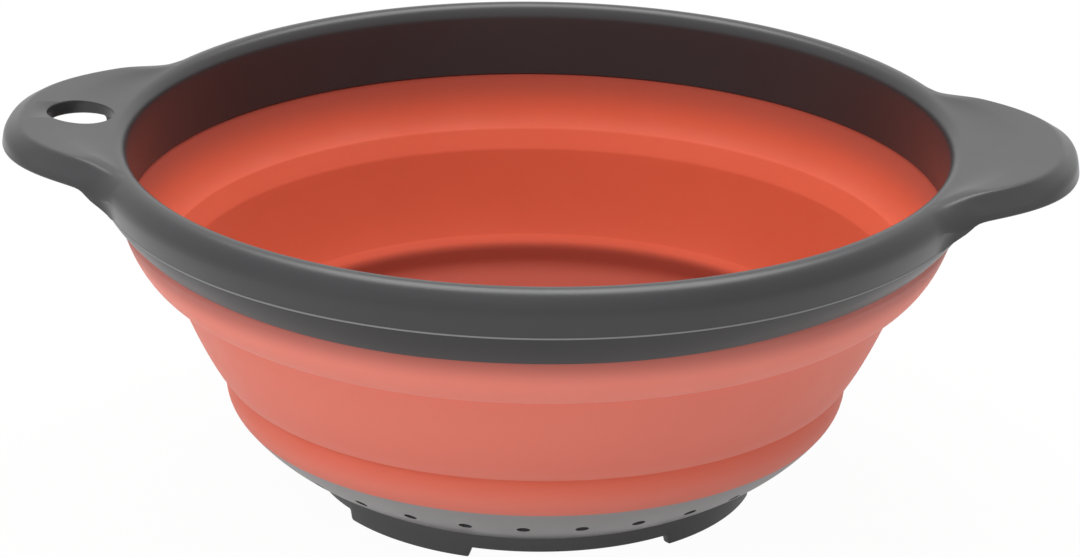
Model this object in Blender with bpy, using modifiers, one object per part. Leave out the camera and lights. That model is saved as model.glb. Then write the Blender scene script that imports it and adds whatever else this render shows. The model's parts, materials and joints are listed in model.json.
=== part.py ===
"""A two-handled collapsible colander: a hard rim, a silicone wall that folds down, and a drained base.

The colander stands on its feet with its centre line on Z, its handles along X and the floor at Z = 0.
Lengths are in metres and angles in degrees. A slope is the angle of a wall above the horizontal.
A line is a list of points (radius, height, slope) that runs down one face of the wall.
"""

import math

import bmesh
import bpy
from mathutils import Matrix

# Heights, stacked from the floor up
foot_drop = 0.0028
foot_ring_height = 0.0042
base_height = 0.0165
lower_band_height = 0.0117
middle_band_height = 0.0275
upper_band_height = 0.0147
rim_height = 0.0221

# Silicone wall: its thickness, how far each band reaches in, and how it bulges, which is the
# number of degrees by which a line starts steeper and ends flatter than straight
silicone_wall = 0.0015
bowl_radius = 0.1111
upper_band_width = 0.0102
middle_band_width = 0.0141
lower_band_width = 0.0039
upper_band_bulge = (20, 34)
middle_band_bulge = (5, 11)
lower_band_bulge = (20, 20)
lower_band_straight = 0.0050

# Rim frame: a rounded lip over an inner wall and an outer skirt, with a channel between them
rim_width = 0.0085
lip_crest_setback = 0.0033
lip_inner_drop = 0.0042
lip_outer_drop = 0.0058
lip_thickness = 0.0030
inner_wall = 0.0022
inner_wall_rise = 0.0010
seal_lip_wall = 0.0009
skirt_wall = 0.0029
skirt_height = 0.0118
skirt_tuck = 0.0016
skirt_bulge = (15, 15)

# Silicone's edge bead, which hangs on the retaining ring inside the channel
bead_height = 0.0026
neck_wall = 0.0012

# Retaining ring under the skirt
ring_ledge = 0.0005
ring_rise = 0.0015
ring_shelf_height = 0.0042
ring_tongue_height = 0.0041
ring_tongue_wall = 0.0011
ring_edge_width = 0.0004
ring_bulge = (9, 9)

# Handles: the rim's outline pushed out over an angle each side of X, hollow below
handle_reach = 0.0261
handle_half_angle = 26.5
handle_fullness_share = 2.65
handle_root_depth = 0.0067
handle_tip_depth = 0.0043
handle_edge_wall = 0.0021
handle_edge_radius = 0.0033
handle_sink = 0.0002
hanging_hole_radius = 0.0091
hanging_hole_inset = 0.0194

# Base: a bowl lined at its edge by the silicone, with a ring of drain holes, a foot ring and feet
base_wall = 0.0022
base_width = 0.0215
base_bulge = (14, 12)
bond_skirt_wall = 0.0013
bond_skirt_height = 0.0045
side_hole_radius = 0.0016
side_hole_inset = 0.0070
side_hole_count = 31
foot_ring_wall = 0.0026
foot_taper = 0.0003
foot_count = 4
foot_gap_angle = 52
base_turn_angle = 12.1

# Drain floor, which rests on a ledge inside the foot ring
floor_thickness = 0.0018
floor_ledge_width = 0.0022
floor_ledge_thickness = 0.0016
floor_hole_radius = 0.0020
floor_hole_margin = 0.0124
floor_hole_rings = 4
floor_holes_more_per_ring = 6

# Clearance between pieces that seat on each other, and how far a cutter runs past what it cuts
seat_gap = 0.0003
overrun = 0.0040

# Facets
turn_steps = 52
handle_steps = 22
edge_steps = 4
drill_sides = 8
hanging_hole_sides = 32
wall_shade_angle = 30

# Levels
base_bottom_z = foot_drop + foot_ring_height
base_top_z = base_bottom_z + base_height
lower_fold_z = base_top_z + lower_band_height
upper_fold_z = lower_fold_z + middle_band_height
rim_bottom_z = upper_fold_z + upper_band_height
rim_top_z = rim_bottom_z + rim_height
skirt_bottom_z = rim_top_z - skirt_height
channel_top_z = rim_top_z - lip_thickness
inner_wall_bottom_z = rim_bottom_z + inner_wall_rise
ring_bottom_z = rim_bottom_z + ring_rise
plate_bottom_z = channel_top_z + seat_gap
handle_top_z = rim_top_z - handle_sink
shelf_z = rim_bottom_z + ring_shelf_height
bead_top_z = shelf_z + seat_gap + bead_height
floor_ledge_z = base_bottom_z - floor_thickness

# Radii
upper_fold_radius = bowl_radius - upper_band_width
lower_fold_radius = upper_fold_radius - middle_band_width
base_rim_radius = lower_fold_radius - lower_band_width
foot_radius = base_rim_radius - base_width
floor_seat_radius = foot_radius - foot_ring_wall
rim_outer_radius = bowl_radius + rim_width
lip_crest_radius = bowl_radius + lip_crest_setback
rim_bore_radius = bowl_radius - seat_gap
seal_lip_radius = rim_bore_radius + seal_lip_wall
neck_inner_radius = seal_lip_radius + seat_gap
neck_outer_radius = neck_inner_radius + neck_wall
ring_bore_radius = neck_outer_radius + seat_gap
skirt_inner_radius = rim_outer_radius - skirt_wall
skirt_middle_radius = rim_outer_radius - skirt_wall / 2
tongue_radius = skirt_inner_radius - seat_gap
tongue_bore_radius = tongue_radius - ring_tongue_wall
bead_outer_radius = tongue_bore_radius - seat_gap
handle_root_radius = rim_outer_radius - seat_gap

# How far the silicone's skirt lies in past the outer face of the base that it lines
bond_depth = base_wall + seat_gap
bond_skirt_depth = bond_depth + bond_skirt_wall


def end_slopes(start, end, bulge):
    """The slopes at both ends of a line that bulges out from the straight."""
    straight = math.degrees(math.atan2(start[1] - end[1], start[0] - end[0]))
    return straight + bulge[0], straight - bulge[1]


def end_width(slope):
    """How far a silicone wall of this slope reaches in past its outer face at an upright end."""
    return silicone_wall * math.sin(math.radians(slope))


def end_rise(slope):
    """How far a silicone wall of this slope reaches up past its outer face at an upright end."""
    return silicone_wall * math.cos(math.radians(slope))


upper_band_top = (bowl_radius + silicone_wall, rim_bottom_z)
upper_fold = (upper_fold_radius, upper_fold_z)
upper_band_slopes = end_slopes(upper_band_top, upper_fold, upper_band_bulge)
upper_fold_bore = upper_fold_radius - end_width(upper_band_slopes[1])
middle_band_radius = upper_fold_bore - seat_gap
middle_band_top = (middle_band_radius, upper_fold_z)
lower_fold = (lower_fold_radius, lower_fold_z)
middle_band_slopes = end_slopes(middle_band_top, lower_fold, middle_band_bulge)
lower_fold_bore = lower_fold_radius - end_width(middle_band_slopes[1])
lower_band_radius = lower_fold_bore - seat_gap


def bend(start, end, bulge, steps):
    """A smooth line down from start to end, with the slope at each point."""
    slopes = end_slopes(start, end, bulge)
    (ax, az), (bx, bz) = [(-math.cos(math.radians(s)), -math.sin(math.radians(s))) for s in slopes]
    dx, dz = end[0] - start[0], end[1] - start[1]
    along = (dx * bz - dz * bx) / (ax * bz - az * bx)
    knee = (start[0] + along * ax, start[1] + along * az)
    line = []
    for step in range(steps + 1):
        t = step / steps
        x, z = [(1 - t) ** 2 * a + 2 * t * (1 - t) * k + t**2 * b for a, k, b in zip(start, knee, end)]
        run, fall = [(1 - t) * (a - k) + t * (k - b) for a, k, b in zip(start, knee, end)]
        line.append((x, z, math.degrees(math.atan2(fall, run))))
    return line


def inset(line, *depths):
    """The line moved into the bowl, square to itself. Two depths hold for its start and its end."""
    moved = []
    for i, (x, z, slope) in enumerate(line):
        depth = depths[0] + (depths[-1] - depths[0]) * i / (len(line) - 1)
        angle = math.radians(slope)
        moved.append((x - depth * math.sin(angle), z + depth * math.cos(angle), slope))
    return moved


def crossing(line, value, axis):
    """The point where a line passes a radius (axis 0) or a height (axis 1)."""
    for before, after in zip(line, line[1:]):
        if before[axis] >= value >= after[axis]:
            t = (before[axis] - value) / (before[axis] - after[axis])
            return tuple(a + (b - a) * t for a, b in zip(before, after))
    return line[0] if value > line[0][axis] else line[-1]


def arc(centre, width, height, start, end, steps):
    """Points of an ellipse's arc. The angles run outwards from straight up."""
    points = []
    for step in range(steps + 1):
        angle = math.radians(start + (end - start) * step / steps)
        points.append((centre[0] + width * math.sin(angle), centre[1] + height * math.cos(angle)))
    return points


def circle(centre, radius, sides):
    turns = [2 * math.pi * i / sides for i in range(sides)]
    return [(centre[0] + radius * math.cos(a), centre[1] + radius * math.sin(a)) for a in turns]


def polar(radius, degrees):
    return radius * math.cos(math.radians(degrees)), radius * math.sin(math.radians(degrees))


def lower_band_line():
    """The outer face of the lower band, from its fold down to where the base starts."""
    start = (lower_band_radius, lower_fold_z - lower_band_straight)
    line = bend(start, (base_rim_radius, base_top_z), lower_band_bulge, steps=3)
    return [(lower_band_radius, lower_fold_z, line[0][2])] + line


def base_line():
    """The outer face of the base bowl, from the silicone down to the foot ring."""
    return bend((base_rim_radius, base_top_z), (foot_radius, base_bottom_z), base_bulge, steps=5)


def rim_frame_profile():
    """The lip and skirt from the crest outwards, then the channel, the inner wall and its seal lip."""
    outer_centre = (lip_crest_radius, rim_top_z - lip_outer_drop)
    inner_centre = (lip_crest_radius, rim_top_z - lip_inner_drop)
    lip_width = rim_outer_radius - lip_crest_radius
    profile = arc(outer_centre, lip_width, lip_outer_drop, 0, 90, steps=4)
    widest = (rim_outer_radius, outer_centre[1])
    skirt_edge = (rim_outer_radius - skirt_tuck, skirt_bottom_z)
    profile += bend(widest, skirt_edge, skirt_bulge, steps=3)[1:]
    profile += [
        (skirt_inner_radius, skirt_bottom_z),
        (skirt_inner_radius, channel_top_z),
        (rim_bore_radius + inner_wall, channel_top_z),
        (rim_bore_radius + inner_wall, bead_top_z + seat_gap),
        (seal_lip_radius, bead_top_z + seat_gap),
        (seal_lip_radius, inner_wall_bottom_z),
        (rim_bore_radius, inner_wall_bottom_z),
    ]
    inner_width = lip_crest_radius - rim_bore_radius
    return profile + arc(inner_centre, inner_width, lip_inner_drop, 270, 360, steps=3)[:-1]


def rim_ring_profile():
    """A tongue inside the skirt, a ledge below it, and a shelf that carries the silicone's bead."""
    ledge = (rim_outer_radius - skirt_tuck + ring_ledge, skirt_bottom_z - seat_gap)
    edge = (ring_bore_radius + ring_edge_width, ring_bottom_z)
    tongue_top_z = ledge[1] + ring_tongue_height
    profile = [(tongue_radius, tongue_top_z), (tongue_radius, ledge[1])]
    profile += bend(ledge, edge, ring_bulge, steps=3)
    return profile + [
        (ring_bore_radius, ring_bottom_z),
        (ring_bore_radius, shelf_z),
        (tongue_bore_radius, shelf_z),
        (tongue_bore_radius, tongue_top_z),
    ]


def upper_band_profile():
    """The bead and its neck in the rim, then the band down to an upright end at the upper fold."""
    seal_z = inner_wall_bottom_z - seat_gap
    outer = bend(upper_band_top, upper_fold, upper_band_bulge, steps=5)
    profile = [
        (bead_outer_radius, bead_top_z),
        (bead_outer_radius, bead_top_z - bead_height),
        (neck_outer_radius, bead_top_z - bead_height),
        (neck_outer_radius, ring_bottom_z),
    ]
    profile += outer + [(upper_fold_bore, upper_fold_z)]
    profile += inset(outer, silicone_wall)[::-1]
    return profile + [(bowl_radius, seal_z), (neck_inner_radius, seal_z), (neck_inner_radius, bead_top_z)]


def middle_band_profile():
    """The band between the folds. Both ends are upright, so that the bands slide past each other."""
    outer = bend(middle_band_top, lower_fold, middle_band_bulge, steps=4)
    profile = [(middle_band_radius, upper_fold_z + end_rise(upper_band_slopes[1]))]
    profile += outer + [(lower_fold_bore, lower_fold_z)]
    return profile + inset(outer, silicone_wall)[::-1]


def lower_band_profile():
    """The band that stays with the base: it ends on the base's edge, and its skirt lines the base."""
    outer = lower_band_line()
    x, z, slope = outer[-1]
    angle = math.radians(slope)
    foot = (x + seat_gap * math.cos(angle), z + seat_gap * math.sin(angle), slope)
    outer = outer[:-1] + [foot]
    base = base_line()
    lined = [point for point in base if point[1] > base_top_z - bond_skirt_height]
    lined.append(crossing(base, base_top_z - bond_skirt_height, axis=1))
    profile = [(lower_band_radius, lower_fold_z + end_rise(middle_band_slopes[1]))] + outer
    profile += inset([foot] + lined[1:], bond_depth)
    profile += inset(lined[1:], bond_skirt_depth)[::-1]
    return profile + inset(outer, silicone_wall, bond_skirt_depth)[::-1]


def base_bowl_profile():
    """The bowl's outer face, the foot ring and the ledge for the floor, and the inner face."""
    outer = base_line()
    inner = inset(outer, base_wall)
    floor_edge = crossing(inner, floor_seat_radius, axis=0)
    profile = outer + [
        (foot_radius - foot_taper, 0),
        (floor_seat_radius, 0),
        (floor_seat_radius, floor_ledge_z - floor_ledge_thickness),
        (floor_seat_radius - floor_ledge_width, floor_ledge_z - floor_ledge_thickness),
        (floor_seat_radius - floor_ledge_width, floor_ledge_z),
        (floor_seat_radius, floor_ledge_z),
    ]
    if floor_edge[0] > floor_seat_radius:
        fall = (floor_edge[0] - floor_seat_radius) * math.tan(math.radians(floor_edge[2]))
        profile.append((floor_seat_radius, floor_edge[1] - fall))
    return profile + inner[::-1]


def handle_line():
    """A handle's edge in plan along +X, from its root on the +Y side round to the other."""
    points = []
    for step in range(handle_steps + 1):
        share = 1 - 2 * step / handle_steps
        radius = handle_root_radius + handle_reach * (1 - abs(share) ** handle_fullness_share) ** 2
        points.append(polar(radius, handle_half_angle * share))
    return points


def inset_plan(points, depth):
    """An open plan outline moved in by a depth, square to itself."""
    moved = []
    for i, (x, y) in enumerate(points):
        before, after = points[max(i - 1, 0)], points[min(i + 1, len(points) - 1)]
        dx, dy = after[0] - before[0], after[1] - before[1]
        length = math.hypot(dx, dy)
        moved.append((x + depth * dy / length, y - depth * dx / length))
    return moved


def both_ends(outline):
    """The outline and its copy turned half way round, for the two handles."""
    return [outline, [(-x, -y) for x, y in outline]]


def material(name, colour, roughness):
    made = bpy.data.materials.new(name)
    made.use_nodes = True
    shader = made.node_tree.nodes["Principled BSDF"]
    shader.inputs["Base Color"].default_value = (*colour, 1)
    shader.inputs["Roughness"].default_value = roughness
    shader.inputs["Metallic"].default_value = 0
    return made


def collection(name):
    made = bpy.data.collections.new(name)
    bpy.context.scene.collection.children.link(made)
    return made


def add_object(name, mesh, home):
    made = bpy.data.objects.new(name, mesh)
    home.objects.link(made)
    return made


def turned(name, profile, level, home):
    """A closed profile turned about Z, with its origin on the centre line at a level."""
    mesh = bpy.data.meshes.new(name)
    count = len(profile)
    edges = [(i, (i + 1) % count) for i in range(count)]
    mesh.from_pydata([(point[0], 0, point[1] - level) for point in profile], edges, [])
    made = add_object(name, mesh, home)
    made.location.z = level
    screw = made.modifiers.new("turn", "SCREW")
    screw.steps = turn_steps
    screw.render_steps = turn_steps
    screw.use_smooth_shade = False
    screw.use_merge_vertices = False
    return made


def slab(name, outlines, bottom, top, home):
    """Flat outlines, and any holes in them, made as thick as from bottom to top."""
    curve = bpy.data.curves.new(name, "CURVE")
    curve.dimensions = "2D"
    curve.fill_mode = "BOTH"
    curve.extrude = (top - bottom) / 2
    for outline in outlines:
        spline = curve.splines.new("POLY")
        spline.points.add(len(outline) - 1)
        for point, (x, y) in zip(spline.points, outline):
            point.co = (x, y, 0, 1)
        spline.use_cyclic_u = True
    drawn = add_object(name + "_outline", curve, home)
    drawn.location.z = (top + bottom) / 2
    bpy.context.view_layer.update()
    mesh = bpy.data.meshes.new_from_object(drawn.evaluated_get(bpy.context.evaluated_depsgraph_get()))
    made = add_object(name, mesh, home)
    made.matrix_world = drawn.matrix_world
    bpy.data.objects.remove(drawn)
    work = bmesh.new()
    work.from_mesh(mesh)
    bmesh.ops.remove_doubles(work, verts=work.verts, dist=seat_gap / 100)
    bmesh.ops.recalc_face_normals(work, faces=work.faces)
    work.to_mesh(mesh)
    work.free()
    return made


def round_top_edge(blank, radius):
    """Rounds a slab's upper edge wherever it lies outside the lip's crest."""
    work = bmesh.new()
    work.from_mesh(blank.data)
    level = [edge for edge in work.edges if all(abs(f.normal.z) > 1 / 2 for f in edge.link_faces)]
    bmesh.ops.dissolve_edges(work, edges=level, use_verts=False)
    weight = work.edges.layers.float.new("bevel_weight_edge")
    for edge in work.edges:
        outside = all(v.co.xy.length > lip_crest_radius and v.co.z > 0 for v in edge.verts)
        edge[weight] = 1 if outside else 0
    work.to_mesh(blank.data)
    work.free()
    bevel = blank.modifiers.new("rounded_edge", "BEVEL")
    bevel.limit_method = "WEIGHT"
    bevel.width = radius
    bevel.segments = edge_steps


def combine(target, other, operation):
    """A Boolean with a helper object, which stays out of the model itself."""
    boolean = target.modifiers.new(other.name, "BOOLEAN")
    boolean.operation = operation
    boolean.solver = "EXACT"
    boolean.object = other
    other.hide_render = True
    other.display_type = "WIRE"


def drills(name, places, radius, length, home):
    """A cylinder for each place, a point with the angles of its tilt about Y and its turn about Z."""
    work = bmesh.new()
    for (x, z), tilt, turn in places:
        placing = Matrix.Rotation(math.radians(turn), 4, "Z") @ Matrix.Translation((x, 0, z))
        placing = placing @ Matrix.Rotation(math.radians(tilt), 4, "Y")
        bmesh.ops.create_cone(
            work,
            cap_ends=True,
            segments=drill_sides,
            radius1=radius,
            radius2=radius,
            depth=length,
            matrix=placing,
        )
    mesh = bpy.data.meshes.new(name)
    work.to_mesh(mesh)
    work.free()
    return add_object(name, mesh, home)


def handles(home):
    """Both handles: slabs with a rounded upper edge, hollow below, whose skirts get shallower outwards."""
    edge = handle_line()
    root_radius = lip_crest_radius - seat_gap
    shares = [2 * step / handle_steps - 1 for step in range(handle_steps + 1)]
    root = [polar(root_radius, handle_half_angle * share) for share in shares]
    bottom_z = handle_top_z - handle_root_depth
    blank = slab("handle_blanks", both_ends(edge + root), bottom_z, handle_top_z, home)
    round_top_edge(blank, handle_edge_radius)

    clear_angle = handle_half_angle + math.degrees(overrun / rim_outer_radius)
    inner_edge = [polar(skirt_middle_radius, clear_angle)]
    for x, y in inset_plan(edge, handle_edge_wall):
        stretch = max(1, skirt_middle_radius / math.hypot(x, y))
        inner_edge.append((x * stretch, y * stretch))
    inner_edge.append(polar(skirt_middle_radius, -clear_angle))
    clear_radius = root_radius - overrun
    inner_edge += [polar(clear_radius, -clear_angle), polar(clear_radius, clear_angle)]
    hollow = slab("handle_hollows", both_ends(inner_edge), bottom_z - overrun, plate_bottom_z, home)
    combine(blank, hollow, "DIFFERENCE")

    rise = handle_root_depth - handle_tip_depth
    for name, side in (("plain_handle_underside", 1), ("holed_handle_underside", -1)):
        work = bmesh.new()
        bmesh.ops.create_cube(work, size=1)
        size = (2 * handle_reach + overrun, 2 * rim_outer_radius, overrun)
        bmesh.ops.transform(work, matrix=Matrix.Diagonal((*size, 1)), verts=work.verts)
        bmesh.ops.translate(work, vec=(0, 0, -overrun / 2), verts=work.verts)
        mesh = bpy.data.meshes.new(name)
        work.to_mesh(mesh)
        work.free()
        underside = add_object(name, mesh, home)
        underside.location = (side * handle_root_radius, 0, bottom_z)
        underside.rotation_euler.y = -side * math.atan2(rise, handle_reach)
        combine(blank, underside, "DIFFERENCE")
    return blank


def make_rim_frame(parts, cutters):
    frame = turned("rim_frame", rim_frame_profile(), rim_bottom_z, parts)
    combine(frame, handles(cutters), "UNION")
    centre = (hanging_hole_inset - handle_root_radius - handle_reach, 0)
    outline = circle(centre, hanging_hole_radius, hanging_hole_sides)
    bottom_z = (channel_top_z + plate_bottom_z) / 2
    hole = slab("hanging_hole", [outline], bottom_z, handle_top_z + overrun, cutters)
    combine(frame, hole, "DIFFERENCE")
    return frame


def make_base_bowl(parts, cutters):
    base = turned("base_bowl", base_bowl_profile(), base_bottom_z, parts)
    x, z, slope = crossing(base_line(), base_rim_radius - side_hole_inset, axis=0)
    turns = [base_turn_angle + 360 * i / side_hole_count for i in range(side_hole_count)]
    places = [((x, z), -slope, turn) for turn in turns]
    holes = drills("side_holes", places, side_hole_radius, 2 * (base_wall + overrun), cutters)
    combine(base, holes, "DIFFERENCE")

    gaps = []
    near = floor_seat_radius - overrun
    far = (foot_radius + overrun) / math.cos(math.radians(foot_gap_angle / 2))
    for i in range(foot_count):
        middle = base_turn_angle + 360 * i / foot_count
        corners = ((near, -1), (far, -1), (far, 1), (near, 1))
        gaps.append([polar(radius, middle + side * foot_gap_angle / 2) for radius, side in corners])
    combine(base, slab("foot_gaps", gaps, -overrun, foot_drop, cutters), "DIFFERENCE")
    return base


def make_drain_floor(parts):
    pitch = (floor_seat_radius - floor_hole_margin) / floor_hole_rings
    outlines = [circle((0, 0), floor_seat_radius - seat_gap, turn_steps)]
    outlines.append(circle((0, 0), floor_hole_radius, drill_sides))
    for ring in range(1, floor_hole_rings + 1):
        count = floor_holes_more_per_ring * ring
        for i in range(count):
            centre = polar(ring * pitch, 360 * i / count)
            outlines.append(circle(centre, floor_hole_radius, drill_sides))
    bottom_z = floor_ledge_z + seat_gap
    return slab("drain_floor", outlines, bottom_z, bottom_z + floor_thickness, parts)


def finish(piece, look):
    piece.data.materials.append(look)
    piece.data.shade_smooth()
    piece.data.set_sharp_from_angle(angle=math.radians(wall_shade_angle))


def carry(carrier, *pieces):
    """Hangs pieces on the piece that they move with."""
    for piece in pieces:
        piece.parent = carrier
        piece.location = piece.location - carrier.location


for old in list(bpy.data.objects):
    bpy.data.objects.remove(old)

colander = collection("collapsible_colander")
helpers = collection("cutters")

dark_plastic = material("dark_grey_plastic", (0.050, 0.050, 0.053), 0.42)
silicone = material("orange_silicone", (0.640, 0.105, 0.050), 0.60)

rim_frame = make_rim_frame(colander, helpers)
rim_ring = turned("rim_ring", rim_ring_profile(), rim_bottom_z, colander)
upper_band = turned("wall_upper_band", upper_band_profile(), upper_fold_z, colander)
middle_band = turned("wall_middle_band", middle_band_profile(), lower_fold_z, colander)
lower_band = turned("wall_lower_band", lower_band_profile(), base_top_z, colander)
base_bowl = make_base_bowl(colander, helpers)
drain_floor = make_drain_floor(colander)

carry(rim_frame, rim_ring, upper_band)
carry(base_bowl, lower_band, drain_floor)

for plastic_piece in (rim_frame, rim_ring, base_bowl, drain_floor):
    finish(plastic_piece, dark_plastic)
for silicone_piece in (upper_band, middle_band, lower_band):
    finish(silicone_piece, silicone)
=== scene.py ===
"""The looks of the collapsible colander. Metres, Z up, feet on the floor."""

import json
import math

import bpy
from mathutils import Matrix, Vector

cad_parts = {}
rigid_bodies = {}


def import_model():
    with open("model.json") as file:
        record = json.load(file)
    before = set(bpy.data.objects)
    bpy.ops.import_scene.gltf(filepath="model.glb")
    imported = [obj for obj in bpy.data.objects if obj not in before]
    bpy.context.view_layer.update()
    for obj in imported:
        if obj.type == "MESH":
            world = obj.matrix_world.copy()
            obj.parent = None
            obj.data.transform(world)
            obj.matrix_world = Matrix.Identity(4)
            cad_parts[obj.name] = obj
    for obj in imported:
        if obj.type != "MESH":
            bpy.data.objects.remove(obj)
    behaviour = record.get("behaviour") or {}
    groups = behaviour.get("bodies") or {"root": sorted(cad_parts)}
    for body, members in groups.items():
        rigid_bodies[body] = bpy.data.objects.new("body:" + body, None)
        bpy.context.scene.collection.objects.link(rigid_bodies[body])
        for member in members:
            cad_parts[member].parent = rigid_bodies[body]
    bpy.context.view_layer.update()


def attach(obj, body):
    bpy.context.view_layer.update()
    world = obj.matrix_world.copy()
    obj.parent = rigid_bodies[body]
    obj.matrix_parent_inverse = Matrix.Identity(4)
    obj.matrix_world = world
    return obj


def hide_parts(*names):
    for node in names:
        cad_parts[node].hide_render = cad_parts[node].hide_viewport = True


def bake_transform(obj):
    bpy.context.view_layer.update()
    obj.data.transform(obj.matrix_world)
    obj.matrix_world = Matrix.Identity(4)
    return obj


for old in list(bpy.data.objects):
    bpy.data.objects.remove(old)

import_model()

MM = 0.001
TURN_STEPS = 288
FINE_TURN_STEPS = 720
SHARP_ANGLE = 35
FOLD_SHARP_ANGLE = 50
FLOOR_SHARP_ANGLE = 40


# Lines and meshes

SHORTEST_SIDE = 1e-7
SHORTEST_RUN = 1e-9
MOST_CUT_BACK = 0.45


def between(start, end, share):
    """The point at this share of the way from start to end."""
    return tuple(a + (b - a) * share for a, b in zip(start, end))


def bend(start, end, slopes, steps):
    """A smooth line down from start to end that leaves and arrives at the two slopes."""
    (ax, az), (bx, bz) = [(-math.cos(math.radians(s)), -math.sin(math.radians(s))) for s in slopes]
    dx, dz = end[0] - start[0], end[1] - start[1]
    along = (dx * bz - dz * bx) / (ax * bz - az * bx)
    knee = (start[0] + along * ax, start[1] + along * az)
    line = []
    for step in range(steps + 1):
        t = step / steps
        first, middle, last = (1 - t) ** 2, 2 * t * (1 - t), t**2
        line.append(tuple(first * a + middle * k + last * b for a, k, b in zip(start, knee, end)))
    return line


def arc(centre, width, height, start, end, steps):
    """Points of an ellipse's arc. The angles run outwards from straight up."""
    points = []
    for step in range(steps + 1):
        angle = math.radians(start + (end - start) * step / steps)
        points.append((centre[0] + width * math.sin(angle), centre[1] + height * math.cos(angle)))
    return points


def ease(low, high, value):
    """0 before low, 1 after high, and smooth between. It runs backwards where high is the smaller."""
    t = min(1, max(0, (value - low) / (high - low)))
    return t * t * (3 - 2 * t)


def rounded(line, radius, steps):
    """The line with each inner corner cut back by the radius at most and rounded."""
    made = [line[0]]
    for before, corner, after in zip(line, line[1:], line[2:]):
        a, b, c = Vector(before), Vector(corner), Vector(after)
        if (a - b).length < SHORTEST_SIDE or (c - b).length < SHORTEST_SIDE:
            continue
        cut_back = min(radius, (a - b).length * MOST_CUT_BACK, (c - b).length * MOST_CUT_BACK)
        p, q = b + (a - b).normalized() * cut_back, b + (c - b).normalized() * cut_back
        for step in range(steps + 1):
            t = step / steps
            made.append(tuple((1 - t) ** 2 * p + 2 * t * (1 - t) * b + t * t * q))
    made.append(line[-1])
    return made


def even(line, count):
    """Points at even steps along a line, both ends among them."""
    runs = [0]
    for a, b in zip(line, line[1:]):
        runs.append(runs[-1] + math.dist(a, b))
    made, k = [], 0
    for i in range(count):
        goal = runs[-1] * i / (count - 1)
        while k < len(line) - 2 and runs[k + 1] < goal:
            k += 1
        share = (goal - runs[k]) / max(SHORTEST_RUN, runs[k + 1] - runs[k])
        made.append(between(line[k], line[k + 1], share))
    return made


def offset(line, depth):
    """The line moved to its inner side, square to itself."""
    moved = []
    for i, point in enumerate(line):
        before, after = line[max(i - 1, 0)], line[min(i + 1, len(line) - 1)]
        dx, dz = after[0] - before[0], after[1] - before[1]
        length = math.hypot(dx, dz)
        moved.append((point[0] + depth * dz / length, point[1] - depth * dx / length))
    return moved


def upright(profile, angle):
    """A profile of (radius, height) in millimetres, stood in the plane at this angle about Z."""
    c, s = math.cos(angle) * MM, math.sin(angle) * MM
    return [(r * c, r * s, z * MM) for r, z in profile]


def linked(name, data):
    """A new object that shows this mesh, curve, light or camera."""
    made = bpy.data.objects.new(name, data)
    bpy.context.scene.collection.objects.link(made)
    return made


def loft(name, sections, look, sharp=SHARP_ANGLE, bloom=None):
    """Closed sections of the same count, joined round into a ring. Painted shading has a value for each
    point of a section, which the material uses to paint light and shade."""
    count, around = len(sections[0]), len(sections)
    verts = [point for section in sections for point in section]
    faces = []
    for i in range(around):
        j = (i + 1) % around
        for k in range(count):
            m = (k + 1) % count
            faces.append((i * count + k, j * count + k, j * count + m, i * count + m))
    mesh = bpy.data.meshes.new(name)
    mesh.from_pydata(verts, [], faces)
    mesh.validate()
    mesh.materials.append(look)
    mesh.shade_smooth()
    mesh.set_sharp_from_angle(angle=math.radians(sharp))
    piece = linked(name, mesh)
    if bloom:
        values = piece.data.attributes.new("bloom", "FLOAT", "POINT").data
        values.foreach_set("value", list(bloom) * around)
    return piece


# Materials

NOISE_ROUGHNESS = 0.55
NOISE_LOW, NOISE_HIGH = 0.3, 0.7


class Look:
    """A Principled material with its nodes."""

    def __init__(self, name, **sockets):
        self.material = bpy.data.materials.new(name)
        self.material.use_nodes = True
        self.tree = self.material.node_tree
        self.shader = self.tree.nodes["Principled BSDF"]
        for socket, value in sockets.items():
            self.shader.inputs[socket.replace("_", " ")].default_value = value
        self.place = self.add("ShaderNodeTexCoord").outputs["Object"]
        self.normal = None

    def add(self, kind, **values):
        """A new node with these settings."""
        node = self.tree.nodes.new(kind)
        for key, value in values.items():
            setattr(node, key, value)
        return node

    def noise(self, scale, detail):
        """Noise with this many features along a metre."""
        node = self.add("ShaderNodeTexNoise")
        node.inputs["Scale"].default_value = scale
        node.inputs["Detail"].default_value = detail
        node.inputs["Roughness"].default_value = NOISE_ROUGHNESS
        self.tree.links.new(self.place, node.inputs["Vector"])
        return node.outputs["Fac"]

    def spread(self, value, low, high, start=NOISE_LOW, end=NOISE_HIGH):
        """A value that runs from start to end, brought to low to high and held there."""
        node = self.add("ShaderNodeMapRange")
        node.inputs["From Min"].default_value = start
        node.inputs["From Max"].default_value = end
        node.inputs["To Min"].default_value = low
        node.inputs["To Max"].default_value = high
        self.tree.links.new(value, node.inputs["Value"])
        return node.outputs["Result"]

    def mix(self, share, first, second):
        """A colour between two, each of them a colour or another node's output."""
        node = self.add("ShaderNodeMix", data_type="RGBA")
        factor, colour_a, colour_b = node.inputs[0], node.inputs[6], node.inputs[7]
        self.tree.links.new(share, factor)
        for socket, value in ((colour_a, first), (colour_b, second)):
            if isinstance(value, tuple):
                socket.default_value = (*value, 1)
            else:
                self.tree.links.new(value, socket)
        return node.outputs[2]

    def bump(self, height, strength, depth):
        """One more layer of bumps, its depth in metres, over those already there."""
        node = self.add("ShaderNodeBump")
        node.inputs["Strength"].default_value = strength
        node.inputs["Distance"].default_value = depth
        self.tree.links.new(height, node.inputs["Height"])
        if self.normal is not None:
            self.tree.links.new(self.normal, node.inputs["Normal"])
        self.normal = node.outputs["Normal"]
        self.set("Normal", self.normal)

    def set(self, socket, value):
        """The shader's socket takes its value from another node's output."""
        self.tree.links.new(value, self.shader.inputs[socket])


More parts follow.
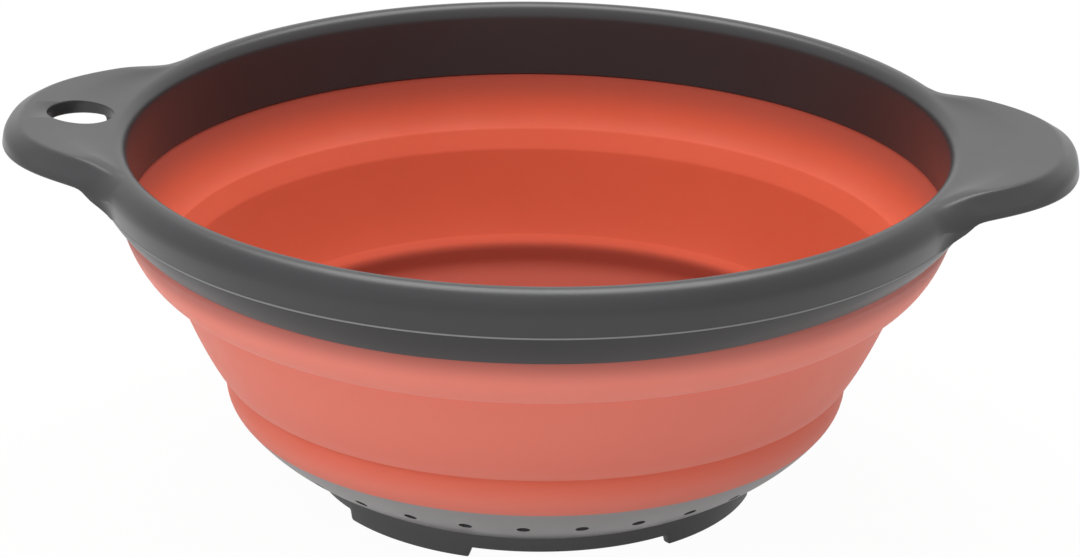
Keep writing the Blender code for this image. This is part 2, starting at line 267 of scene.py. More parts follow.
def plastic(name, dark, light, roughness, painted_light_from=None, pale=None):
    """Satin moulded plastic: fine grain and slow shifts of tone. Where pale is given, the piece turns to
    it between two given heights, in metres, and stays so above them: painted light."""
    look = Look(name, Specular_IOR_Level=0.43)
    cloud = look.noise(scale=14, detail=3)
    grain = look.noise(scale=2600, detail=2)
    speck = look.noise(scale=900, detail=3)
    wear = look.noise(scale=45, detail=2)
    wave = look.noise(scale=120, detail=0)
    tone = look.mix(look.spread(cloud, low=0, high=1), dark, light)
    tone = look.mix(look.spread(speck, low=0, high=0.16), tone, light)
    # Painted light: from the given heights up, the tone turns to the pale colour.
    if pale:
        start, end = painted_light_from
        parts = look.add("ShaderNodeSeparateXYZ")
        look.tree.links.new(look.place, parts.inputs[0])
        tone = look.mix(look.spread(parts.outputs["Z"], 0, 1, start, end), tone, pale)
    smoothest, roughest = roughness - 0.04, roughness + 0.05
    look.set("Base Color", tone)
    look.set("Roughness", look.spread(wear, smoothest, roughest, start=0, end=1))
    look.bump(grain, strength=0.2, depth=0.00004)
    look.bump(wave, strength=0.04, depth=0.0002)
    return look.material


def rubber(name, dark, light, painted_reflection, painted_shade, painted_shadow):
    """Matte silicone with a soft sheen. As the painted shading of a point goes from 0 to 1, it turns pale
    and less saturated, a painted reflection of the white surroundings, and from 1 to 2 that turns darker,
    a painted shadow. Under 0 the clean tone gets deeper, a painted shade."""
    look = Look(
        name,
        IOR=1.41,
        Sheen_Weight=0.1,
        Sheen_Roughness=0.4,
        Sheen_Tint=(1, 0.82, 0.78, 1),
        Subsurface_Weight=0.12,
        Subsurface_Radius=(0.0022, 0.0009, 0.0006),
        Subsurface_Scale=1,
    )
    cloud = look.noise(scale=11, detail=4)
    speck = look.noise(scale=420, detail=4)
    wear = look.noise(scale=60, detail=5)
    grain = look.noise(scale=2200, detail=2)
    wave = look.noise(scale=90, detail=2)
    bloom = look.add("ShaderNodeAttribute", attribute_name="bloom").outputs["Fac"]
    tone = look.mix(look.spread(cloud, low=0, high=1), dark, light)
    tone = look.mix(look.spread(speck, low=0, high=0.2), tone, light)
    # Painted reflection: pale and less saturated, for the white surroundings mirrored on the outside.
    tone = look.mix(look.spread(bloom, low=0, high=1, start=0, end=1), tone, painted_reflection)
    # Painted shade: a deeper tone under the rim and under the lower fold.
    tone = look.mix(look.spread(bloom, low=1, high=0, start=-1, end=0), tone, painted_shade)
    # Painted shadow: darker under the ring.
    tone = look.mix(look.spread(bloom, low=0, high=1, start=1, end=2), tone, painted_shadow)
    look.set("Base Color", tone)
    look.set("Roughness", look.spread(wear, low=0.54, high=0.66))
    look.bump(grain, strength=0.22, depth=0.00005)
    look.bump(wave, strength=0.05, depth=0.0003)
    return look.material


dark_plastic = plastic(
    "dark_grey_plastic",
    dark=(0.030, 0.030, 0.032),
    light=(0.037, 0.037, 0.039),
    roughness=0.32,
)
# The ring's plastic: darker than the rim's, painted shade on its face, with a pale band along its top edge, a
# painted highlight.
ring_plastic = plastic(
    "ring_plastic",
    dark=(0.020, 0.020, 0.0215),
    light=(0.026, 0.026, 0.0275),
    roughness=0.36,
    painted_light_from=(0.0872, 0.08728),
    pale=(0.20, 0.20, 0.205),
)
# The base's plastic: lighter than the rim's, painted light, and paler still on the bowl above the foot ring,
# a painted reflection of the bright floor.
base_plastic = plastic(
    "base_plastic",
    dark=(0.070, 0.070, 0.072),
    light=(0.078, 0.078, 0.080),
    roughness=0.34,
    painted_light_from=(0.0068, 0.0072),
    pale=(0.25, 0.25, 0.255),
)
# The silicone's pale, deeper and darker tones are a painted reflection, painted shade and a painted shadow.
silicone = rubber(
    "orange_silicone",
    dark=(0.66, 0.094, 0.040),
    light=(0.72, 0.106, 0.047),
    painted_reflection=(0.73, 0.205, 0.152),
    painted_shade=(0.44, 0.085, 0.055),
    painted_shadow=(0.34, 0.085, 0.066),
)


# Heights and radii that the pieces share, in millimetres

FOOT_DROP = 2.8
BASE_BOTTOM = 7.0
BASE_TOP = 23.5
LOWER_FOLD = 35.2
UPPER_FOLD = 62.7
RIM_BOTTOM = 77.4
INNER_WALL_BOTTOM = 78.4
RING_BOTTOM = 78.9
NECK_TOP = 85.0
SKIRT_BOTTOM = 87.7
RIM_TOP = 99.5

FLOOR_SEAT = 58.8
FOOT = 61.4
BASE_EDGE = 82.9
BORE = 110.8
CREST = 114.4
SKIRT_EDGE = 118.25
RIM = 119.6

BASE_SLOPES = (52, 26)
SKIRT_SLOPES = (90, 74)


def bowl_line(steps):
    """The outer face of the base bowl, from the silicone down to the foot ring."""
    return bend((BASE_EDGE, BASE_TOP), (FOOT, BASE_BOTTOM), BASE_SLOPES, steps)


def from_handle(turn):
    """Degrees from the nearer handle."""
    return abs((turn + 90) % 180 - 90)


# Silicone wall: one moulding that rolls over its two folds, hangs in the rim and lines the base

SILICONE_WALL = 1.5
NECK_OUTER = 113.2
NECK_INNER = 111.9
SHOULDER = 111.35
SHOULDER_HEIGHT = 78.1

UPPER_BAND_TOP = 112.6
UPPER_BAND_FOOT = 100.3
UPPER_BAND_SLOPES = (72, 16)
MIDDLE_BAND_TOP = 99.9
MIDDLE_BAND_DROP = 0.5
MIDDLE_BAND_FOOT = 86.8
MIDDLE_BAND_SLOPES = (69, 53)
LOWER_BAND_LIP = 85.5
LOWER_BAND_LIP_DROP = 0.4
LOWER_BAND_TOP = 85.3
LOWER_BAND_DROP = 1.4
LOWER_BAND_STRAIGHT = 5
LOWER_BAND_SLOPES = (90, 50)

LINING_STEP = 1.6
LINING_STEP_RUN = 6
LINING_RISE = 0.4
LINING_HEIGHT = 4.5
LINING_SEAT = 2.4
LINING_FACE = 3.7

OUTER_ROUND = 0.5
INNER_ROUND = 3.6
CLOSEST_POINTS = 0.02
# The neck in the rim gets the full painted shade.
NECK_PAINTED_SHADE = -1.0


def outside_bloom(z):
    """Painted shadow under the ring, a pale painted reflection on the bands with a painted highlight along
    the lower fold, and painted shade just under that fold, with the pale painted reflection coming back
    towards the base. Each run is the distance from the ring's edge or the fold over which the painted
    shading changes."""
    ring_edge, ring_run = RIM_BOTTOM + 0.5, (-1.5, 7)
    fold_run, base_run = (5, 0), (1, 9)
    under_ring, lost_below = 1.9, 0.9
    middle_band, gained_at_fold = 0.82, 0.18
    under_fold, gained_below = 0.3, 0.6
    if z > UPPER_FOLD:
        return under_ring - lost_below * ease(*ring_run, ring_edge - z)
    if z > LOWER_FOLD:
        return middle_band + gained_at_fold * ease(*fold_run, z - LOWER_FOLD)
    return under_fold + gained_below * ease(*base_run, LOWER_FOLD - z)


def inside_bloom(z):
    """Clean, and deeper in tone under the rim and under the lower fold: painted shade."""
    deepest, rim_run, fold_run = 0.8, (68, 77), (LOWER_FOLD + 1, LOWER_FOLD - 2)
    return -deepest * ease(*rim_run, z) - deepest * ease(*fold_run, z)


def lining_inset(z):
    """How far the inner face steps in near the base, where the lining begins."""
    return LINING_STEP * ease(BASE_TOP + LINING_STEP_RUN, BASE_TOP, z)


def silicone_profile():
    """The closed profile, each point with its radius, height and painted shading. The inner points next
    to a fold are left out, so that its inner corner has room to be rounded."""
    upper_top, upper_foot = (UPPER_BAND_TOP, RIM_BOTTOM), (UPPER_BAND_FOOT, UPPER_FOLD)
    middle_top = (MIDDLE_BAND_TOP, UPPER_FOLD - MIDDLE_BAND_DROP)
    middle_foot = (MIDDLE_BAND_FOOT, LOWER_FOLD)
    lower_lip = (LOWER_BAND_LIP, LOWER_FOLD - LOWER_BAND_LIP_DROP)
    lower_top = (LOWER_BAND_TOP, LOWER_FOLD - LOWER_BAND_DROP)
    straight_end = (LOWER_BAND_TOP, LOWER_FOLD - LOWER_BAND_STRAIGHT)
    upper = bend(upper_top, upper_foot, UPPER_BAND_SLOPES, steps=22)
    middle = bend(middle_top, middle_foot, MIDDLE_BAND_SLOPES, steps=36)
    lower = [lower_lip, lower_top]
    lower += bend(straight_end, (BASE_EDGE, BASE_TOP), LOWER_BAND_SLOPES, steps=10)
    outer = [(NECK_OUTER, NECK_TOP), (NECK_OUTER, RING_BOTTOM)] + upper + middle + lower
    inner = offset(upper, SILICONE_WALL)[:-2] + offset(middle, SILICONE_WALL)[3:-2]
    inner += [(r - SILICONE_WALL - lining_inset(z), z + LINING_RISE) for r, z in lower[1:]]
    lined = [point for point in bowl_line(steps=20) if point[1] > BASE_TOP - LINING_HEIGHT]
    inside = offset(lined, LINING_SEAT) + offset(lined, LINING_FACE)[::-1]
    inside += rounded(inner, INNER_ROUND, steps=6)[::-1]
    neck = [(SHOULDER, SHOULDER_HEIGHT), (NECK_INNER, SHOULDER_HEIGHT), (NECK_INNER, NECK_TOP)]
    profile = [(r, z, outside_bloom(z)) for r, z in rounded(outer, OUTER_ROUND, steps=3)]
    profile += [(r, z, inside_bloom(z)) for r, z in inside]
    profile += [(r, z, NECK_PAINTED_SHADE) for r, z in neck]
    pairs = zip(profile, profile[1:] + profile[:1])
    return [point for point, after in pairs if math.dist(point, after) > CLOSEST_POINTS]


wall_points = silicone_profile()
wall_outline = [(r, z) for r, z, _ in wall_points]
wall_turns = [2 * math.pi * i / TURN_STEPS for i in range(TURN_STEPS)]
# The wall's colour carries painted shading at each point: painted shadow, painted shade and a pale painted
# reflection.
wall = loft(
    "silicone_wall",
    [upright(wall_outline, turn) for turn in wall_turns],
    silicone,
    sharp=FOLD_SHARP_ANGLE,
    bloom=[bloom for _, _, bloom in wall_points],
)
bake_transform(wall)
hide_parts("wall_upper_band", "wall_middle_band", "wall_lower_band")


# Rim frame: the lip, the skirt and both handles in one skin

LIP_WIDTH = 5.2
LIP_DROP = 5.8
LIP_INNER_DROP = 4.2
EDGE_POINTS = 30
TOP_POINTS = 9
SKIRT_STEPS = 24
SKIRT_POINTS = 7

CHANNEL_OUTER = 116.7
CHANNEL_INNER = 113.0
CHANNEL_TOP = 96.5
SEAL_RADIUS = 111.7
SEAL_TOP = 85.1
BORE_HEIGHTS = (86, 91)
SMALL_ROUND = 0.2

HANDLE_REACH = 25.8
HANDLE_HALF_ANGLE = 26.5
HANDLE_FULLNESS = 2.65
HANDLE_LIFT = 1.4
HANDLE_DIP = 0.15
HANDLE_BOTTOM = 94.4
HANDLE_EDGE_WIDTH = 6.4
HANDLE_EDGE_ROUND = 2.6
HANDLE_ROLL = 0.6
HANDLE_FOOT_ROUND = 0.5
HANDLE_WALL = 2.1
HANDLE_LEAST_WALL = 0.9
HANDLE_PLATE = 2.9
ROOT_REACH = 5.8
ROOT_STEEPNESS = 0.75
ROOT_SOFTNESS = 1
LEAST_STEP = 0.05
FOLDED_STEP = 0.07
CROWN_SHARES = (0, 0.15, 0.3, 0.45, 0.6, 0.8)
CROWN_QUICKNESS = 1.15
CROWN_LEAST_RUN = 0.5

# A handle's slanted edge: where it starts and ends, as shares of the edge's width in from the outline,
# and the share of the edge's drop that it takes, with less of it at the tip
SLANT_START = 0.72
SLANT_END = 0.08
SLANT_DROP = 0.8
SLANT_LESS_AT_TIP = 0.4

# How far in from a handle's edge, or out from its inner face, and up from its bottom
HANDLE_EDGE_STEP = (0.06, 0.3)
HANDLE_EDGE_ROLL = ((0.16, 0.12), (0.45, 0))
HANDLE_FACE_ROLL = ((0.4, 0), (0.05, 0.4))

# A handle's hollow: its least width, and the corner between its inner face and its roof
HOLLOW_LEAST = 0.4
HOLLOW_CORNER_RUN = 0.6
HOLLOW_CORNER_DROP = 0.7
HOLLOW_CORNER_LEAST = 0.3
HOLLOW_CORNER_GAP = 0.1

# The hollow's end at the skirt: how far out from RIM, the least gap to the face, and the drop
HOLLOW_END = ((0.9, 0.2, 0), (0.2, 0.3, 0.3), (0, 0.4, 1))

# Reaches, from the rim's outline outwards, between which a handle's forms set in
DIP_RUN = (0, 3)
SKIRT_RUN = (0, 4.5)
HOLLOW_RUN = (1, 5)
EDGE_RUN = (0, 9)
LIFT_RUN = (1, 13)
TIP_RUN = (17, 25)

HANGING_HOLE = 9.1
HANGING_HOLE_INSET = 20.4
HANGING_HOLE_SINK = 0.2
HANGING_HOLE_LIP = 0.5
CUTTER_OVERRUN = 3
LIP_TURNS = (0, 0.4, 0.8, 1.2, 1.57)


def handle_reach(turn):
    """How far the handles push the rim's outline out at this angle, in degrees from X."""
    share = from_handle(turn) / HANDLE_HALF_ANGLE
    return HANDLE_REACH * (1 - share**HANDLE_FULLNESS) ** 2 if share < 1 else 0


def skirt_face():
    """Points down the skirt's tucked face, at even steps of its curve, without the lowest."""
    line = bend((RIM, RIM_TOP - LIP_DROP), (SKIRT_EDGE, SKIRT_BOTTOM), SKIRT_SLOPES, SKIRT_STEPS)
    made = []
    for i in range(SKIRT_POINTS):
        place = i / SKIRT_POINTS * SKIRT_STEPS
        low = int(place)
        made.append(between(line[low], line[low + 1], place - low))
    return made


SKIRT_FACE = skirt_face()
RIM_INSIDE = [
    (CHANNEL_OUTER + SMALL_ROUND, SKIRT_BOTTOM),
    (CHANNEL_OUTER, SKIRT_BOTTOM + SMALL_ROUND),
    (CHANNEL_OUTER, CHANNEL_TOP),
    (CHANNEL_INNER, CHANNEL_TOP),
    (CHANNEL_INNER, SEAL_TOP),
    (SEAL_RADIUS, SEAL_TOP),
    (SEAL_RADIUS, INNER_WALL_BOTTOM),
    (BORE + SMALL_ROUND, INNER_WALL_BOTTOM),
    (BORE, INNER_WALL_BOTTOM + SMALL_ROUND),
    *((BORE, height) for height in BORE_HEIGHTS),
]


def rim_edge(edge, width, top, drop, reach, handle_share):
    """The outer edge, from the top down: a quarter round on the rim and a slant, blunt at its foot
    towards the tip, on a handle."""
    quarter = even(arc((edge - width, top - drop), width, drop, 0, 90, steps=40), EDGE_POINTS)
    slant_drop = SLANT_DROP - SLANT_LESS_AT_TIP * ease(*TIP_RUN, reach)
    corners = [
        (edge - width, top),
        (edge - width * SLANT_START, top),
        (edge - width * SLANT_END, top - drop * slant_drop),
        (edge, top - drop),
    ]
    slant = even(rounded(corners, HANDLE_EDGE_ROUND, steps=8), EDGE_POINTS)
    return [between(round_point, point, handle_share) for round_point, point in zip(quarter, slant)]


def rim_top(edge, width, top):
    """The top between the crest and the edge, both left out: flat, or rising to a handle's crown."""
    run = edge - width - CREST
    if edge - width > CREST + CROWN_LEAST_RUN:
        rise = [ease(0, 1, share * CROWN_QUICKNESS) for share in CROWN_SHARES]
        crown = [(CREST + run * share, RIM_TOP + (top - RIM_TOP) * t) for share, t in zip(CROWN_SHARES, rise)]
        return even(crown, TOP_POINTS)[1:-1]
    steps = TOP_POINTS - 1
    return [(CREST + run * i / steps, RIM_TOP) for i in range(1, steps)]


def handle_hollow(low_edge, bottom, lean):
    """The rolled foot of a handle's edge, and its hollow underside as far as the skirt. Where a handle
    is narrow, the hollow's points draw together but stay apart by a least gap."""
    roof, face = RIM_TOP - HANDLE_PLATE, max(low_edge - HANDLE_WALL * lean, RIM + HOLLOW_LEAST)
    face = min(face, low_edge - HANDLE_LEAST_WALL)
    step_in, step_up = HANDLE_EDGE_STEP
    foot = [(low_edge - step_in, bottom + step_up)]
    foot += [(low_edge - inwards * lean, bottom + rise) for inwards, rise in HANDLE_EDGE_ROLL]
    foot += [(face + outwards, bottom + rise) for outwards, rise in HANDLE_FACE_ROLL]
    corner = max(face - HOLLOW_CORNER_RUN, RIM + HOLLOW_CORNER_LEAST)
    hollow = [(face, roof - HOLLOW_CORNER_DROP), (min(corner, face - HOLLOW_CORNER_GAP), roof)]
    hollow += [(min(RIM + out, face - gap), roof - drop) for out, gap, drop in HOLLOW_END]
    return foot + hollow


def rim_section(turn):
    """The rim cut through at this angle. A handle's top is lifted to a crown, and at its root the
    underside runs down to the skirt's foot. Away from the handles, the points of the hollow lie folded
    together on the skirt's foot."""
    reach, nudge = handle_reach(turn), 0.05
    slope = (handle_reach(turn + nudge) - handle_reach(turn - nudge)) / math.radians(2 * nudge)
    edge = RIM + reach
    lean = math.hypot(1, slope / edge)
    handle_share = ease(*EDGE_RUN, reach)
    hollow_share = ease(*HOLLOW_RUN, reach)
    top = RIM_TOP - HANDLE_DIP * ease(*DIP_RUN, reach) + HANDLE_LIFT * ease(*LIFT_RUN, reach)
    root = ROOT_REACH - reach
    root_drop = ROOT_STEEPNESS * (root + math.hypot(root, ROOT_SOFTNESS))
    bottom = max(HANDLE_BOTTOM - root_drop, SKIRT_BOTTOM)
    width = (LIP_WIDTH + (HANDLE_EDGE_WIDTH - LIP_WIDTH) * handle_share) * lean
    width = min(width, edge - CREST - LEAST_STEP)
    drop = LIP_DROP + (top - bottom - HANDLE_ROLL - LIP_DROP) * handle_share
    low_edge = SKIRT_EDGE + (edge - SKIRT_EDGE) * ease(*SKIRT_RUN, reach)
    low = min(bottom + HANDLE_FOOT_ROUND * hollow_share, top - drop - LEAST_STEP)
    inside = arc((CREST, RIM_TOP - LIP_INNER_DROP), CREST - BORE, LIP_INNER_DROP, 270, 360, steps=9)
    over = rim_top(edge, width, top) + rim_edge(edge, width, top, drop, reach, handle_share)
    side = bend((edge, top - drop), (low_edge, low), SKIRT_SLOPES, steps=8)[1:]
    hollow = handle_hollow(low_edge, bottom, lean) + SKIRT_FACE
    flat = [(SKIRT_EDGE - FOLDED_STEP * (k + 1), SKIRT_BOTTOM) for k in range(len(hollow))]
    under = [between(level, place, hollow_share) for level, place in zip(flat, hollow)]
    return upright(inside + over + side + under + RIM_INSIDE, math.radians(turn))


def cut(piece, cutters):
    """The piece with other meshes cut out of it for good."""
    for tool in cutters:
        boolean = piece.modifiers.new(tool.name, "BOOLEAN")
        boolean.operation, boolean.solver, boolean.object = "DIFFERENCE", "EXACT", tool
        boolean.material_mode = "TRANSFER"
    bpy.context.view_layer.update()
    graph = bpy.context.evaluated_depsgraph_get()
    made = bpy.data.meshes.new_from_object(piece.evaluated_get(graph))
    made.shade_smooth()
    made.set_sharp_from_angle(angle=math.radians(SHARP_ANGLE))
    piece.modifiers.clear()
    piece.data = made
    for tool in cutters:
        bpy.data.objects.remove(tool)


def spool(profile, sides, placing):
    """A cutter's shape: a profile of (radius, height) in millimetres from its bottom up, turned, closed
    at both ends and placed."""
    verts, faces = [], []
    for r, z in profile:
        for i in range(sides):
            a = 2 * math.pi * i / sides
            verts.append(placing @ Vector((r * math.cos(a) * MM, r * math.sin(a) * MM, z * MM)))
    for level in range(len(profile) - 1):
        low = level * sides
        for i in range(sides):
            j = (i + 1) % sides
            faces.append((low + i, low + j, low + sides + j, low + sides + i))
    faces.append(tuple(reversed(range(sides))))
    faces.append(tuple(range(len(verts) - sides, len(verts))))
    return verts, faces


def cutter(name, shapes):
    """One object of several shapes. What it cuts bare gets the dark plastic."""
    verts, faces = [], []
    for some_verts, some_faces in shapes:
        faces += [tuple(index + len(verts) for index in face) for face in some_faces]
        verts += some_verts
    mesh = bpy.data.meshes.new(name)
    mesh.from_pydata(verts, [], faces)
    mesh.materials.append(dark_plastic)
    return linked(name, mesh)


def flared(radius, bottom, top, lip):
    """The profile of a straight hole whose two ends open out over a rounded lip."""
    low = [(radius + lip * (1 - math.sin(a)), bottom + lip * (1 - math.cos(a))) for a in LIP_TURNS]
    high = [(r, top + bottom - z) for r, z in reversed(low)]
    widest = low[0][0]
    return [(widest, bottom - CUTTER_OVERRUN)] + low + high + [(widest, top + CUTTER_OVERRUN)]


fine_turns = [360 * i / FINE_TURN_STEPS for i in range(FINE_TURN_STEPS)]
rim = loft("rim_with_handles", [rim_section(turn) for turn in fine_turns], dark_plastic)
hole_place = Matrix.Translation((-(RIM + HANDLE_REACH - HANGING_HOLE_INSET) * MM, 0, 0))
hole_top = RIM_TOP + HANDLE_LIFT - HANGING_HOLE_SINK
hole_profile = flared(HANGING_HOLE, RIM_TOP - HANDLE_PLATE, hole_top, HANGING_HOLE_LIP)
cut(rim, [cutter("hanging_hole", [spool(hole_profile, sides=96, placing=hole_place)])])
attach(rim, "rim")
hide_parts("rim_frame")


# Retaining ring: flush with the skirt, painted darker than the rim's plastic for shade on its face, with a
# painted highlight along its top edge at the joint

RING_RISE = 2.3
RING_FOOT = 113.9
RING_BULGE = 8
RING_INNER_EDGE = 113.5
RING_INNER_HEIGHT = 84.0
RING_FACE_OUT = 0.02
RING_FACE_DROP = 0.6
RING_FOOT_RISE = 0.25
RING_FOOT_ROUND = (0.15, 0.05)
TONGUE_INNER = 115.4
TONGUE_OUTER = 116.4
TONGUE_TOP = 91.5
JOINT_DROP = 0.01

# How far out from the skirt's edge, and down from its foot
RING_SHOULDER = ((-0.12, 0.01), (0, 0.05), (0.06, 0.15), (0.06, 0.45))
RISE_RUN = (10, 70)


def ring_section(turn):
    """The tongue in the skirt, the joint, and a face whose lower edge rises towards the handles."""
    low = RING_BOTTOM + RING_RISE * ease(*RISE_RUN, 90 - from_handle(turn))
    top_edge = (SKIRT_EDGE + RING_FACE_OUT, SKIRT_BOTTOM - RING_FACE_DROP)
    low_edge = (RING_FOOT, low + RING_FOOT_RISE)
    steepness = math.degrees(math.atan2(top_edge[1] - low_edge[1], top_edge[0] - low_edge[0]))
    joint = [
        (TONGUE_INNER, TONGUE_TOP),
        (TONGUE_OUTER, TONGUE_TOP),
        (TONGUE_OUTER, SKIRT_BOTTOM - JOINT_DROP),
        *((SKIRT_EDGE + out, SKIRT_BOTTOM - drop) for out, drop in RING_SHOULDER),
    ]
    face = bend(top_edge, low_edge, (steepness + RING_BULGE, steepness - RING_BULGE), steps=16)
    foot_in, foot_rise = RING_FOOT_ROUND
    inside = [
        (RING_FOOT - foot_in, low + foot_rise),
        (RING_INNER_EDGE, low + foot_rise),
        (RING_INNER_EDGE, RING_INNER_HEIGHT),
        (TONGUE_INNER, RING_INNER_HEIGHT),
    ]
    return upright(joint + face + inside, math.radians(turn))


ring_turns = [360 * i / TURN_STEPS for i in range(TURN_STEPS)]
ring = loft("rim_retaining_ring", [ring_section(turn) for turn in ring_turns], ring_plastic)
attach(ring, "rim")
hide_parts("rim_ring")


# Base: the bowl with its drain holes, and the foot ring with its feet

BASE_WALL = 2.2
BASE_TURN = 14.1
FOOT_PITCH = 90
GAP_HALF_ANGLE = 25.6
FOOT_EDGE_ANGLE = 26.6
LEDGE_RADIUS = 56.6
LEDGE_BOTTOM = 3.6
LEDGE_TOP = 5.2
SEAT_TOP = 8.4
SEAT_ROOM = 0.4

# How far in from FOOT, and the height
FOOT_FACE = ((0.02, 6.75), (0.1, 4.6))

# How far in from FOOT or out from FLOOR_SEAT, and up from the foot's bottom
FOOT_OUTER_ROUND = ((0.25, 0.6), (0.35, 0.2), (0.7, 0))
FOOT_INNER_ROUND = ((0.6, 0), (0.15, 0.15), (0, 0.5))

SIDE_HOLE = 1.75
SIDE_HOLE_LIP = 0.1
SIDE_HOLE_COUNT = 31
SIDE_HOLE_RING = 75.9
SIDE_HOLE_TURN = 2.5


def foot_bottom(turn):
    """0 in a foot and FOOT_DROP in a gap, with a short rounded step between."""
    half_pitch = FOOT_PITCH / 2
    from_gap = abs((turn - BASE_TURN + half_pitch) % FOOT_PITCH - half_pitch)
    return FOOT_DROP * (1 - ease(GAP_HALF_ANGLE, FOOT_EDGE_ANGLE, from_gap))


def base_section(turn):
    """The bowl's outer face, the foot ring with the ledge for the drain floor, and the inner face."""
    bowl, low = bowl_line(steps=26), foot_bottom(turn)
    inner = [point for point in offset(bowl, BASE_WALL) if point[0] > FLOOR_SEAT + SEAT_ROOM]
    foot = [(FOOT - inwards, height) for inwards, height in FOOT_FACE]
    foot += [(FOOT - inwards, low + rise) for inwards, rise in FOOT_OUTER_ROUND]
    foot += [(FLOOR_SEAT + outwards, low + rise) for outwards, rise in FOOT_INNER_ROUND]
    ledge = [
        (FLOOR_SEAT, LEDGE_BOTTOM),
        (LEDGE_RADIUS, LEDGE_BOTTOM),
        (LEDGE_RADIUS, LEDGE_TOP),
        (FLOOR_SEAT, LEDGE_TOP),
        (FLOOR_SEAT, SEAT_TOP),
    ]
    return upright(bowl + foot + ledge + inner[::-1], math.radians(turn))


def drain_holes():
    """The shapes of the side holes, each square to the bowl's face."""
    line = bowl_line(steps=60)
    i = min(range(len(line)), key=lambda index: abs(line[index][0] - SIDE_HOLE_RING))
    (r, z), (next_r, next_z) = line[i], line[i + 1]
    tilt = Matrix.Rotation(-math.atan2(z - next_z, r - next_r), 4, "Y")
    profile = flared(SIDE_HOLE, 0, BASE_WALL, SIDE_HOLE_LIP)
    shapes = []
    for k in range(SIDE_HOLE_COUNT):
        angle = math.radians(BASE_TURN + SIDE_HOLE_TURN + 360 * k / SIDE_HOLE_COUNT)
        placing = Matrix.Rotation(angle, 4, "Z") @ Matrix.Translation((r * MM, 0, z * MM)) @ tilt
        shapes.append(spool(profile, sides=28, placing=placing))
    return shapes


bowl = loft("base_with_feet", [base_section(turn) for turn in fine_turns], base_plastic)
cut(bowl, [cutter("drain_holes", drain_holes())])
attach(bowl, "base")
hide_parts("base_bowl")


# Drain floor

FLOOR_PLAY = 0.45
FLOOR_HALF_THICKNESS = 0.75
FLOOR_EDGE_ROUND = 0.15
FLOOR_MIDDLE = 6.4
FLOOR_HOLE = 2.15
FLOOR_HOLE_PITCH = 11.6
FLOOR_HOLE_RINGS = 4
FLOOR_HOLES_MORE = 6
FLOOR_SIDES = 192
FLOOR_HOLE_SIDES = 24


def drain_floor():
    """A thin plate with holes in rings, drawn as one flat outline and made solid."""
    curve = bpy.data.curves.new("drain_floor_outline", "CURVE")
    curve.dimensions, curve.fill_mode = "2D", "BOTH"
    curve.extrude, curve.bevel_depth = FLOOR_HALF_THICKNESS * MM, FLOOR_EDGE_ROUND * MM
    curve.bevel_resolution = 2
    rings = [(0, 0, FLOOR_SEAT - FLOOR_PLAY, FLOOR_SIDES), (0, 0, FLOOR_HOLE, FLOOR_HOLE_SIDES)]
    for ring_number in range(1, FLOOR_HOLE_RINGS + 1):
        count = FLOOR_HOLES_MORE * ring_number
        for k in range(count):
            turn, place = 2 * math.pi * k / count, ring_number * FLOOR_HOLE_PITCH
            rings.append((place * math.cos(turn), place * math.sin(turn), FLOOR_HOLE, FLOOR_HOLE_SIDES))
    for x, y, radius, sides in rings:
        spline = curve.splines.new("POLY")
        spline.points.add(sides - 1)
        for i, point in enumerate(spline.points):
            a = 2 * math.pi * i / sides
            point.co = ((x + radius * math.cos(a)) * MM, (y + radius * math.sin(a)) * MM, 0, 1)
        spline.use_cyclic_u = True
    drawn = linked("drain_floor_outline", curve)
    bpy.context.view_layer.update()
    mesh = bpy.data.meshes.new_from_object(drawn.evaluated_get(bpy.context.evaluated_depsgraph_get()))
    bpy.data.objects.remove(drawn)
    mesh.transform(Matrix.Translation((0, 0, FLOOR_MIDDLE * MM)))
    mesh.materials.clear()
    mesh.materials.append(dark_plastic)
    mesh.shade_smooth()
    mesh.set_sharp_from_angle(angle=math.radians(FLOOR_SHARP_ANGLE))
    piece = linked("perforated_floor", mesh)
    return piece


floor_plate = drain_floor()
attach(floor_plate, "base")
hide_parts("drain_floor")


# Floor, light and camera

FLOOR_SIZE = 6.0
FLOOR_COLOUR = (0.86, 0.86, 0.86, 1)
FLOOR_SEEN = 0.97
FLOOR_MIRRORED = 0.5
WHITE = (1, 1, 1, 1)
WORLD_FILL = 0.45

LAMP_AIM = (0, 0, 0.05)

CAMERA_ELEVATION, CAMERA_AZIMUTH, CAMERA_ROLL = 21.55, 4.0, -0.78
CAMERA_AIM = (0.00089, 0, 0.0567)
CAMERA_DISTANCE = 1.111
CAMERA_REACH = 50
FOCAL_LENGTH_PIXELS = 4055
PHOTO_WIDTH_PIXELS = 1080
SENSOR_WIDTH = 36


def seen_directly(tree, reflected=1.0):
    """1 for rays of the camera, the share given for reflections, and 0 for light that spreads."""
    path = tree.nodes.new("ShaderNodeLightPath")
    total = path.outputs["Is Camera Ray"]
    for ray, share in (("Is Glossy Ray", reflected), ("Is Transmission Ray", 1.0)):
        either = tree.nodes.new("ShaderNodeMath")
        either.operation = "MULTIPLY_ADD"
        tree.links.new(path.outputs[ray], either.inputs[0])
        either.inputs[1].default_value = share
        tree.links.new(total, either.inputs[2])
        total = either.outputs[0]
    return total


def mixed(tree, share, first, second, output):
    """Two shaders mixed by a share into the output's surface."""
    mix = tree.nodes.new("ShaderNodeMixShader")
    out = tree.nodes.new(output)
    for socket, value in zip(mix.inputs, (share, first, second)):
        tree.links.new(value, socket)
    tree.links.new(mix.outputs[0], out.inputs["Surface"])


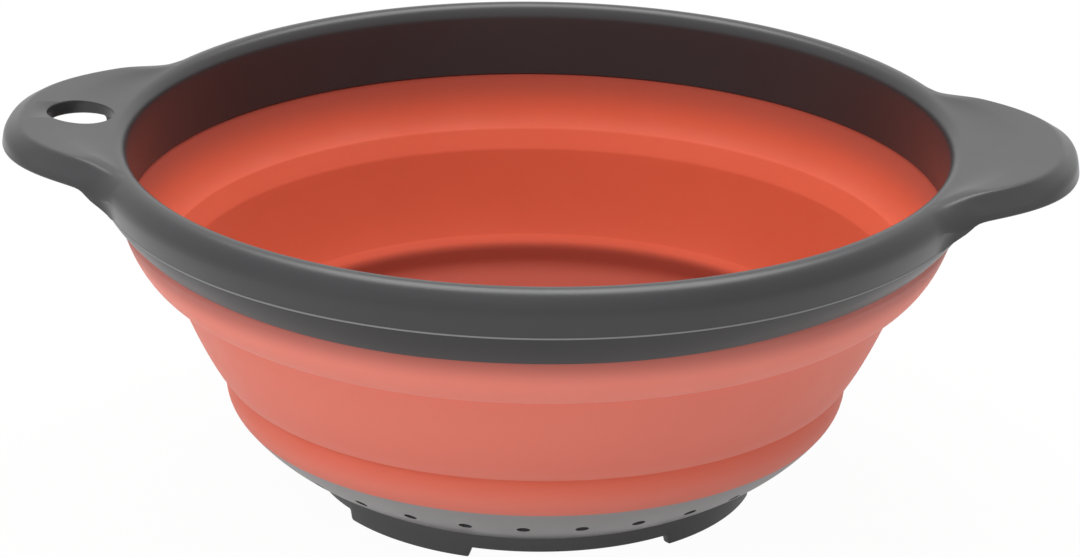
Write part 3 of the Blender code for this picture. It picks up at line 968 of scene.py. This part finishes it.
def stage_floor():
    """A pale floor that looks white and keeps the object's shadow."""
    size = FLOOR_SIZE
    corners = [(-size, -size, 0), (size, -size, 0), (size, size, 0), (-size, size, 0)]
    mesh = bpy.data.meshes.new("floor")
    mesh.from_pydata(corners, [], [(0, 1, 2, 3)])
    floor = linked("floor", mesh)
    made = bpy.data.materials.new("pale_floor")
    made.use_nodes = True
    tree = made.node_tree
    tree.nodes.clear()
    paint = tree.nodes.new("ShaderNodeBsdfDiffuse")
    paint.inputs["Color"].default_value = FLOOR_COLOUR
    white = tree.nodes.new("ShaderNodeEmission")
    seen = tree.nodes.new("ShaderNodeMath")
    seen.operation = "MULTIPLY"
    tree.links.new(seen_directly(tree, FLOOR_MIRRORED), seen.inputs[0])
    seen.inputs[1].default_value = FLOOR_SEEN
    mixed(tree, seen.outputs[0], paint.outputs[0], white.outputs[0], "ShaderNodeOutputMaterial")
    floor.data.materials.append(made)


def stage_world():
    """White to look at, and a weaker white as fill light."""
    world = bpy.data.worlds.new("studio")
    bpy.context.scene.world = world
    world.use_nodes = True
    tree = world.node_tree
    tree.nodes.clear()
    skies = []
    for strength in (WORLD_FILL, 1):
        sky = tree.nodes.new("ShaderNodeBackground")
        sky.inputs["Color"].default_value = WHITE
        sky.inputs["Strength"].default_value = strength
        skies.append(sky.outputs[0])
    mixed(tree, seen_directly(tree), *skies, "ShaderNodeOutputWorld")


def softbox(name, place, width, height, power, mirrored=True):
    """A rectangular lamp that aims at the object."""
    light = bpy.data.lights.new(name, "AREA")
    light.shape = "RECTANGLE"
    light.size, light.size_y = width, height
    light.energy = power
    lamp = linked(name, light)
    lamp.location = place
    lamp.rotation_euler = (Vector(LAMP_AIM) - Vector(place)).to_track_quat("-Z", "Y").to_euler()
    lamp.visible_glossy = mirrored


def photo_camera():
    """The camera at the photo's height, turn and slight roll."""
    angles = (CAMERA_ELEVATION, CAMERA_AZIMUTH, CAMERA_ROLL)
    elevation, azimuth, roll = [math.radians(angle) for angle in angles]
    turn = Matrix.Rotation(azimuth, 3, "Z")
    back = turn @ Vector((0, -math.cos(elevation), math.sin(elevation)))
    right = turn @ Vector((1, 0, 0))
    up = turn @ Vector((0, math.sin(elevation), math.cos(elevation)))
    across = right * math.cos(roll) - up * math.sin(roll)
    upwards = right * math.sin(roll) + up * math.cos(roll)
    place = turn @ Vector(CAMERA_AIM) + back * CAMERA_DISTANCE
    data = bpy.data.cameras.new("photo_camera")
    data.sensor_width = SENSOR_WIDTH
    data.lens = FOCAL_LENGTH_PIXELS / PHOTO_WIDTH_PIXELS * SENSOR_WIDTH
    data.clip_end = CAMERA_REACH
    camera = linked("photo_camera", data)
    camera.matrix_world = Matrix.Translation(place) @ Matrix((across, upwards, back)).transposed().to_4x4()
    bpy.context.scene.camera = camera


stage_floor()
stage_world()
softbox("overhead", place=(0.0, 0.45, 1.5), width=1.5, height=0.9, power=22)
softbox("front", place=(-0.4, -0.8, 1.05), width=1.2, height=0.5, power=4.5, mirrored=False)
softbox("side", place=(-1.0, -1.0, 0.3), width=0.8, height=0.5, power=3.5, mirrored=False)
photo_camera()
bpy.context.scene.view_settings.view_transform = "Standard"
